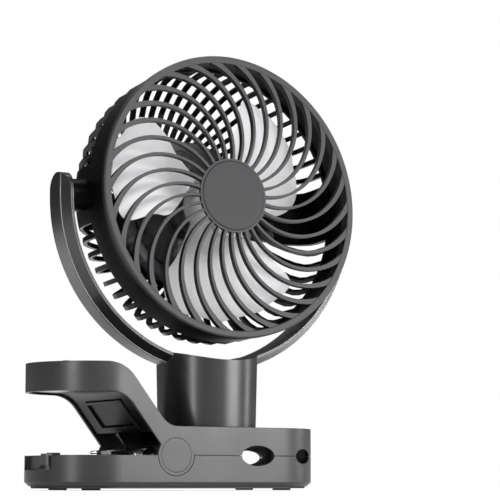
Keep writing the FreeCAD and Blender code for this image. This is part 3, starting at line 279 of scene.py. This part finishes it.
# Plate screws: zinc-plated steel, headed and rolled, driven up into the shell's posts.
# Working the metal leaves fine level lines across the shine: the noise is squeezed upwards
# and moves both the roughness and the bump.
def worked_metal(name, colour, roughness, line_mm):
    squeeze = (1.0, 1.0, 12.0)
    smoother, rougher = 0.06, 0.08
    material, tree, output = new_material(name)
    coord = add_node(tree, "ShaderNodeTexCoord")
    level = add_node(tree, "ShaderNodeMapping", {"Scale": squeeze},
                     {"Vector": coord.outputs["Object"]})
    lines = add_node(tree, "ShaderNodeTexNoise", {"Scale": metre_mm / line_mm, "Detail": 2.0},
                     {"Vector": level.outputs["Vector"]})
    rough = add_node(tree, "ShaderNodeMapRange",
                     {"To Min": roughness - smoother, "To Max": roughness + rougher},
                     {"Value": lines.outputs["Fac"]})
    bump = add_node(tree, "ShaderNodeBump", {"Strength": 0.15, "Distance": 0.00004},
                    {"Height": lines.outputs["Fac"]})
    metal = add_node(tree, "ShaderNodeBsdfPrincipled",
                     {"Base Color": from_hex(colour), "Metallic": 1.0},
                     {"Roughness": rough.outputs["Result"], "Normal": bump.outputs["Normal"]})
    tree.links.new(metal.outputs[0], output.inputs["Surface"])
    return material


zinc_steel = worked_metal("zinc_plated_steel", "#9a9c9e", roughness=0.34, line_mm=1.0)
finish_parts(zinc_steel, "plate_screws")

# Cells: two round rechargeable cells, each in a blue PVC sleeve that was shrunk on with
# heat. The tight film is smooth and gleams, with hardly any grain.
cell_sleeve = moulded_plastic("blue_pvc_sleeve", "#2a5080", edge_wear_and_highlight_colour="#4f75a5",
                              roughness=0.28, grain_mm=3.0, grain_depth_mm=0.01, edge_mm=0.3)
finish_parts(cell_sleeve, "battery_cells")

# Cell holder: black ABS tray that the cells snap into, from a polished tool.
# It is dark and smooth, and its corners carry painted highlight: a pale grey drawn on them as
# thin bright lines.
black_abs_edge_highlight = moulded_plastic("black_gloss_abs_painted_edge_highlight", "#080809", edge_wear_and_highlight_colour="#6a6a6e",
                                  roughness=0.24, grain_mm=0.5, grain_depth_mm=0.006,
                                  edge_mm=0.3, edge_wear_and_highlight=0.8, shine=0.12)
finish_parts(black_abs_edge_highlight, "cell_holder")

# Cell contacts and charging socket: four tabs stamped from strip and welded to the cells'
# ends, and a deep-drawn shell. Both are nickel-plated steel, bright with faint lines.
bright_wire = worked_metal("bright_plated_wire", "#c9cacc", roughness=0.16, line_mm=1.5)
finish_parts(bright_wire, "cell_contacts", "charge_socket")

# Main board: glass-fibre laminate cut to size, with its three chips, laid on the bottom
# plate's rests. The green solder mask on it is a thin lacquer with a half gloss.
solder_mask = moulded_plastic("green_solder_mask", "#1d5a36", edge_wear_and_highlight_colour="#3c7a55",
                              roughness=0.35, grain_mm=0.8, grain_depth_mm=0.01, edge_mm=0.1)
finish_parts(solder_mask, "main_board")

# Jaw liners: thin black ABS decks pushed into both jaws by their flanges, which close the
# shells and carry the grip pads. They come from a polished tool, as the cell holder does, and
# share its painted highlight on the corners.
finish_parts(black_abs_edge_highlight, "lower_jaw_liner", "upper_jaw_liner")

# Grip pads: soft rubber strips glued to the decks, so that the jaws hold a rail.
# They are moulded with ribs across the grip, and look matt.
grip_rubber = soft_rubber("grip_rubber", "#1f1f20", rib_mm=3.0)
finish_parts(grip_rubber, "lower_grip_pads", "upper_grip_pads")

# Pivot pin: steel rod through both ears of the clip, which the halves turn on.
# Grinding leaves it smooth, with fine lines that soften the shine.
ground_steel = worked_metal("ground_steel", "#a9abae", roughness=0.22, line_mm=0.8)
finish_parts(ground_steel, "pivot_pin")

# Pivot caps: round plugs snapped over the pin's ends, level with the side faces.
# They are moulded in the shells' charcoal ABS and share their grain.
finish_parts(charcoal_abs, "pivot_caps")

# Stops: two small tabs on the deck's edges, under the lever, that it comes down on.
# They are moulded in the shells' charcoal ABS.
finish_parts(charcoal_abs, "bumper_pad")

# Torsion spring: steel wire wound round the pivot pin, with a leg to each half of the clip.
# Drawing leaves the wire bright, and oil keeps it so.
spring_steel = worked_metal("drawn_spring_steel", "#b9b9bb", roughness=0.25, line_mm=1.2)
finish_parts(spring_steel, "torsion_spring")

# Hanging hook: thick steel wire, bent cold and nickel-plated, that turns in a saddle of the
# bottom plate and folds into its bay under the clip.
finish_parts(bright_wire, "hanging_hook")

# Upper shell: jaw, round ears and the humped squeeze lever in one moulding of the same
# charcoal ABS. It turns on the pivot pin.
finish_parts(charcoal_abs, "upper_shell")

# Lever liner: black ABS cover pressed into the underside of the lever, with a raised frame
# on the slope whose edges carry painted highlight, a pale grey drawn as thin bright lines.
finish_parts(black_abs_edge_highlight, "lever_liner")

# Control panel and receiver: black polycarbonate let into the lever's top, from a polished
# tool. It looks like dark glass, with a faint slow ripple.
panel_black = moulded_plastic("polished_black_polycarbonate", "#101012",
                              edge_wear_and_highlight_colour="#2c2c30", roughness=0.16, grain_mm=6.0,
                              grain_depth_mm=0.004, edge_mm=0.25)
finish_parts(panel_black, "control_panel", "ir_receiver")

# Indicator window: bar of smoked polycarbonate snapped in beside the keys, over the charge
# lights. Unlit it looks plain grey and polished.
smoked = moulded_plastic("smoked_polycarbonate", "#4a4a4e", edge_wear_and_highlight_colour="#6a6a70",
                         roughness=0.2, grain_mm=6.0, grain_depth_mm=0.004, edge_mm=0.2)
finish_parts(smoked, "indicator_window")

# Button board: laminate that carries the three switches, fixed under the panel on four
# posts. It has the main board's green solder mask.
finish_parts(solder_mask, "button_board")

# Keys: three round silicone rubber buttons that pass through the panel and stand a little
# above it. They are matt and smooth: a rib of 40 mm is wider than a key, so none shows.
key_rubber = soft_rubber("silicone_key", "#38383a", rib_mm=40.0)
finish_parts(key_rubber, "fan_button", "light_button", "timer_button")

# Key marks: a broken ring of pale paint on each key, pad-printed, so it stands slightly
# proud and is a little worn. The rings are plain and stand for no letter.
mark_radius = 0.0015
mark_line = 0.00022
mark_sunk = 0.00008
mark_cut_step = 0.0003
mark_wear_mm = 1.2
mark_paint, tree, output = new_material("pale_pad_print")
coord = add_node(tree, "ShaderNodeTexCoord")
wear = add_node(tree, "ShaderNodeTexNoise", {"Scale": metre_mm / mark_wear_mm, "Detail": 3.0},
                {"Vector": coord.outputs["Object"]})
shade = add_node(tree, "ShaderNodeMix",
                 {"data_type": "RGBA", mix_first: from_hex("#b9b9b9"),
                  mix_second: from_hex("#8f8f90")},
                 {mix_share: wear.outputs["Fac"]})
paint = add_node(tree, "ShaderNodeBsdfPrincipled", {"Roughness": 0.55},
                 {"Base Color": shade.outputs[mix_result]})
tree.links.new(paint.outputs[0], output.inputs["Surface"])
# Each ring loses its far side, and each key's loses a little less than the one before.
for number, key in enumerate(("fan", "light", "timer"), start=1):
    low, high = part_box(key + "_button")
    key_x = (low[0] + high[0]) / 2
    key_y = (low[1] + high[1]) / 2
    bpy.ops.object.select_all(action="DESELECT")
    bpy.ops.mesh.primitive_torus_add(major_radius=mark_radius, minor_radius=mark_line,
                                     major_segments=40, minor_segments=8,
                                     location=(key_x, key_y, high[2] - mark_sunk))
    mark = bpy.context.object
    mark.name = key + "_key_mark"
    bpy.ops.object.transform_apply(location=True, rotation=True, scale=True)
    bpy.ops.object.mode_set(mode="EDIT")
    bpy.ops.mesh.select_all(action="SELECT")
    bpy.ops.mesh.bisect(plane_co=(key_x, key_y + mark_cut_step * number, 0),
                        plane_no=(0, 1, 0), use_fill=True, clear_outer=True)
    bpy.ops.mesh.select_all(action="SELECT")
    bpy.ops.mesh.normals_make_consistent(inside=False)
    bpy.ops.object.mode_set(mode="OBJECT")
    mark.data.materials.append(mark_paint)
    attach(mark, key + "_key")

# Swivel washer: ring cut from white acetal, laid on the jaw's roof, that the column turns
# on. Acetal is slippery, and looks waxy and slightly warm.
acetal = moulded_plastic("white_acetal", "#c9c8c0", edge_wear_and_highlight_colour="#e0dfd8",
                         roughness=0.4, grain_mm=1.0, grain_depth_mm=0.01, edge_mm=0.2)
finish_parts(acetal, "swivel_washer")

# Column base: ABS disc and spigot that close the column's foot and pass through the jaw's
# roof. It is satin, with a deeper grain than the clip's.
# Its corners are paler: partly wear, partly painted highlight.
column_abs = moulded_plastic("column_satin_abs", "#262628", edge_wear_and_highlight_colour="#4c4c50",
                             roughness=0.30, grain_mm=0.45, grain_depth_mm=0.03,
                             edge_mm=0.8, edge_wear_and_highlight=0.35)
finish_parts(column_abs, "column_base")

# Swivel retainer and its screws: black ABS disc under the jaw's roof, drawn up to the
# column base by three zinc-plated screws, so that the column turns but can't lift.
# The disc shares the cell holder's black and its painted highlight on the corners.
finish_parts(black_abs_edge_highlight, "swivel_retainer")
finish_parts(zinc_steel, "swivel_screws")

# Yoke and column: one ABS moulding, a half hoop on a round column, that carries the head on
# two pins. It is darker than the clip, and its crisp edges take a pale grey as painted
# highlight, drawn as thin bright lines.
yoke_abs_edge_highlight = moulded_plastic("yoke_satin_abs_painted_edge_highlight", "#1b1b1d", edge_wear_and_highlight_colour="#66666a",
                           roughness=0.30, grain_mm=0.45, grain_depth_mm=0.01,
                           edge_mm=0.6, edge_wear_and_highlight=0.6)
finish_parts(yoke_abs_edge_highlight, "yoke_frame")

# Yoke highlights: three fine raised beads along the hoop, one on the edge of its side face
# and two beside the inner edge of its front, moulded with the yoke. Their pale grey is painted
# highlight: it draws the bright lines that light makes along the yoke's edges.
bead_painted_highlight = moulded_plastic("yoke_bead_painted_highlight", "#727276", edge_wear_and_highlight_colour="#a0a0a4",
                           roughness=0.24, grain_mm=0.45, grain_depth_mm=0.006,
                           edge_mm=0.3, edge_wear_and_highlight=0.6, shine=0.8)
yoke_low, yoke_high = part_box("yoke_frame")
tilt_height = 0.2048
column_axis = (yoke_low[0] + yoke_high[0]) / 2
hoop_outer = (yoke_high[0] - yoke_low[0]) / 2
hoop_thick = 0.0072
hoop_inner = hoop_outer - hoop_thick
side_edge = -0.0054
front_face = -0.0125
side_rise = 0.0134
front_rise = 0.0034
# Each bead is the lower half of a ring round the tilt pins' height, and its ends rise
# straight up the arms. A row holds name, radius, place front to back, half thickness, rise.
bead_rows = [
    ("yoke_side_highlight_bead", hoop_outer - 0.0004, side_edge, 0.00040, side_rise),
    ("yoke_front_highlight_bead", hoop_inner + 0.0017, front_face, 0.00030, front_rise),
    ("yoke_inner_highlight_bead", hoop_inner + 0.0004, front_face, 0.00035, front_rise),
]
for name, radius, depth, thickness, rise in bead_rows:
    bpy.ops.object.select_all(action="DESELECT")
    bpy.ops.mesh.primitive_torus_add(major_radius=radius, minor_radius=thickness,
                                     major_segments=160, minor_segments=8,
                                     location=(column_axis, depth, tilt_height),
                                     rotation=(radians(90), 0, 0))
    bead = bpy.context.object
    bead.name = name
    bpy.ops.object.transform_apply(location=True, rotation=True, scale=True)
    bpy.ops.object.mode_set(mode="EDIT")
    bpy.ops.mesh.select_all(action="SELECT")
    bpy.ops.mesh.bisect(plane_co=(0, 0, tilt_height), plane_no=(0, 0, 1),
                        use_fill=True, clear_outer=True)
    bpy.ops.mesh.extrude_region_move(TRANSFORM_OT_translate={"value": (0, 0, rise)})
    bpy.ops.mesh.select_all(action="SELECT")
    bpy.ops.mesh.normals_make_consistent(inside=False)
    bpy.ops.object.mode_set(mode="OBJECT")
    bpy.ops.object.shade_smooth()
    bead.data.materials.append(bead_painted_highlight)
    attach(bead, "column")

# Wire covers: two curved strips pressed into the channel inside the hoop, over the wires to
# the head. They are moulded in the yoke's own ABS and share its painted edge highlight.
finish_parts(yoke_abs_edge_highlight, "wire_covers")

# Tilt pins and washers: ground steel pins pressed into the yoke's arms, through white
# acetal washers. The washers are pinched enough for the head to hold its tilt.
finish_parts(ground_steel, "tilt_pins")
finish_parts(acetal, "tilt_washers")


# Front grille: thirty swept bars, a ring and the hub in one charcoal ABS moulding. The
# front is spark-eroded and matt, drawn coarse enough to show, and the faces that turn away
# from the head's front, the bars' sides, take a near-black colour as painted shade.
def fronted_plastic(name, front_colour, side_shade_colour, roughness, grain_mm, shine):
    # The way the head faces, leaning back 4.85 degrees, and cosines of a face's turn from it.
    head_front = (0.0, -0.9964, 0.0845)
    side_until, front_from = 0.25, 0.75
    patch_mm = 60.0
    patch_dust = 1.2
    patch_gloss = 0.04
    material, tree, output = new_material(name)
    coord = add_node(tree, "ShaderNodeTexCoord")
    on_piece = {"Vector": coord.outputs["Object"]}
    facing = add_node(tree, "ShaderNodeVectorMath",
                      {"operation": "DOT_PRODUCT", 1: head_front},
                      {0: coord.outputs["Normal"]})
    front = add_node(tree, "ShaderNodeMapRange",
                     {"From Min": side_until, "From Max": front_from},
                     {"Value": facing.outputs["Value"]})
    grain = add_node(tree, "ShaderNodeTexNoise",
                     {"Scale": metre_mm / grain_mm, "Detail": 3.0, "Roughness": 0.6}, on_piece)
    handling = add_node(tree, "ShaderNodeTexNoise",
                        {"Scale": metre_mm / patch_mm, "Detail": 3.0}, on_piece)
    soft_edge = add_node(tree, "ShaderNodeBevel", {"samples": 4, "Radius": 0.00025})
    bump = add_node(tree, "ShaderNodeBump", {"Strength": 0.35, "Distance": 0.000025},
                    {"Height": grain.outputs["Fac"], "Normal": soft_edge.outputs["Normal"]})
    base = from_hex(front_colour)
    dusty = tuple(c * patch_dust for c in base[:3]) + (1.0,)
    shade = add_node(tree, "ShaderNodeMix",
                     {"data_type": "RGBA", mix_first: base, mix_second: dusty},
                     {mix_share: handling.outputs["Fac"]})
    # Faces turned away from the head's front take the side colour, as painted shade.
    skin = add_node(tree, "ShaderNodeMix",
                    {"data_type": "RGBA", mix_first: from_hex(side_shade_colour)},
                    {mix_share: front.outputs["Result"], mix_second: shade.outputs[mix_result]})
    gloss = add_node(tree, "ShaderNodeMapRange",
                     {"To Min": roughness - patch_gloss, "To Max": roughness + patch_gloss},
                     {"Value": handling.outputs["Fac"]})
    plastic = add_node(tree, "ShaderNodeBsdfPrincipled",
                       {"IOR": 1.54, "Specular IOR Level": shine},
                       {"Base Color": skin.outputs[mix_result],
                        "Roughness": gloss.outputs["Result"],
                        "Normal": bump.outputs["Normal"]})
    tree.links.new(plastic.outputs[0], output.inputs["Surface"])
    return material


grille_abs = fronted_plastic("grille_matt_abs_painted_side_shade", "#2c2c2e", side_shade_colour="#0a0a0b",
                             roughness=0.5, grain_mm=0.4, shine=0.3)
finish_parts(grille_abs, "front_grille")

# Hub cap: shallow round cap snapped into the grille's hub and left bare. It is moulded in
# the same charcoal ABS, with a finer and more matt face, and its rim, turned away from the
# front, is darker as painted shade.
hub_abs = fronted_plastic("hub_cap_matt_abs_painted_side_shade", "#29292b", side_shade_colour="#1c1c1e",
                          roughness=0.58, grain_mm=0.35, shine=0.28)
finish_parts(hub_abs, "hub_cap")

# Head band and rear cage: an ABS tube round the blades, and fine swept bars behind them.
# Both are near black, darker than the grille's charcoal: partly the moulding's own colour and
# partly painted shade, so that they sink back behind the grille.
cage_black_and_shade = moulded_plastic("black_cage_abs_and_painted_shade", "#050506", edge_wear_and_highlight_colour="#101012",
                           roughness=0.34, grain_mm=0.5, grain_depth_mm=0.01,
                           edge_mm=0.2, shine=0.09)
finish_parts(cage_black_and_shade, "head_band", "rear_cage")

# Motor housing: ABS pot with radial grooves at its rim and slots at the back, pressed into
# the rear cage's back ring. Its grey is paler than the grille's.
# Its corners are paler: partly wear, partly painted highlight.
pot_abs = moulded_plastic("grey_housing_abs", "#3a3a3e", edge_wear_and_highlight_colour="#5a5a5e",
                          roughness=0.45, grain_mm=0.5, grain_depth_mm=0.03,
                          edge_mm=0.5, edge_wear_and_highlight=0.2)
finish_parts(pot_abs, "motor_pot")

# Rear disc: plain round ABS cover glued on the back of the housing. It is a shade darker
# than the housing, and a little smoother.
# Its corners are paler: partly wear, partly painted highlight.
disc_abs = moulded_plastic("rear_disc_abs", "#303032", edge_wear_and_highlight_colour="#4c4c50",
                           roughness=0.4, grain_mm=0.5, grain_depth_mm=0.03,
                           edge_mm=0.5, edge_wear_and_highlight=0.2)
finish_parts(disc_abs, "rear_disc")

# Motor can and shaft: deep-drawn can of zinc-plated steel, pressed into the housing's neck,
# and the ground steel shaft that carries the blades.
finish_parts(zinc_steel, "motor_can")
finish_parts(ground_steel, "motor_shaft")

# Light ring: laminate ring round the housing's neck with six LED chips, under a lens ring
# moulded in clear polycarbonate. The chips' phosphor is a matt amber while unlit, and the
# lens has slow ripples that bend what lies behind it.
ripple_mm = 14.0
board_mask = moulded_plastic("grey_solder_mask", "#3a3a3c", edge_wear_and_highlight_colour="#5a5a5c",
                             roughness=0.35, grain_mm=1.0, grain_depth_mm=0.005, edge_mm=0.1)
finish_parts(board_mask, "led_board")
phosphor = moulded_plastic("amber_phosphor", "#f0c468", edge_wear_and_highlight_colour="#f4d088",
                           roughness=0.3, grain_mm=0.4, grain_depth_mm=0.01, edge_mm=0.2)
finish_parts(phosphor, "led_chips")
clear_lens, tree, output = new_material("clear_polycarbonate")
coord = add_node(tree, "ShaderNodeTexCoord")
ripple = add_node(tree, "ShaderNodeTexNoise", {"Scale": metre_mm / ripple_mm, "Detail": 1.0},
                  {"Vector": coord.outputs["Object"]})
bump = add_node(tree, "ShaderNodeBump", {"Strength": 0.1, "Distance": 0.0002},
                {"Height": ripple.outputs["Fac"]})
clear = add_node(tree, "ShaderNodeBsdfPrincipled",
                 {"Base Color": from_hex("#8c8c8a"), "IOR": 1.58, "Roughness": 0.15,
                  "Transmission Weight": 0.9},
                 {"Normal": bump.outputs["Normal"]})
tree.links.new(clear.outputs[0], output.inputs["Surface"])
finish_parts(clear_lens, "led_lens")

# Rotor: three wide blades and their hub in one moulding of milky polypropylene, slid on the
# shaft. The blades are thin enough that light from behind shows through, and slow flow
# marks from the moulding cloud their colour.
flow_mm = 45.0
light_through = 0.35
milky, tree, output = new_material("milky_polypropylene")
coord = add_node(tree, "ShaderNodeTexCoord")
flow = add_node(tree, "ShaderNodeTexNoise",
                {"Scale": metre_mm / flow_mm, "Detail": 2.0, "Distortion": 0.6},
                {"Vector": coord.outputs["Object"]})
shade = add_node(tree, "ShaderNodeMix",
                 {"data_type": "RGBA", mix_first: from_hex("#f2f2f4"),
                  mix_second: from_hex("#fbfbfb")},
                 {mix_share: flow.outputs["Fac"]})
bump = add_node(tree, "ShaderNodeBump", {"Strength": 0.1, "Distance": 0.0003},
                {"Height": flow.outputs["Fac"]})
skin = add_node(tree, "ShaderNodeBsdfPrincipled", {"IOR": 1.49, "Roughness": 0.3},
                {"Base Color": shade.outputs[mix_result], "Normal": bump.outputs["Normal"]})
through = add_node(tree, "ShaderNodeBsdfTranslucent", {"Color": from_hex("#d8d9dc")})
milk = add_node(tree, "ShaderNodeMixShader", {0: light_through},
                {1: skin.outputs[0], 2: through.outputs[0]})
tree.links.new(milk.outputs[0], output.inputs["Surface"])
finish_parts(milky, "fan_blade")

# Blade nut: small black ABS nut screwed on the shaft's end, which holds the rotor there.
# It comes from a polished tool, as the cell holder does, and shares its painted highlight on
# the corners.
finish_parts(black_abs_edge_highlight, "blade_nut")

low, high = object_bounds()
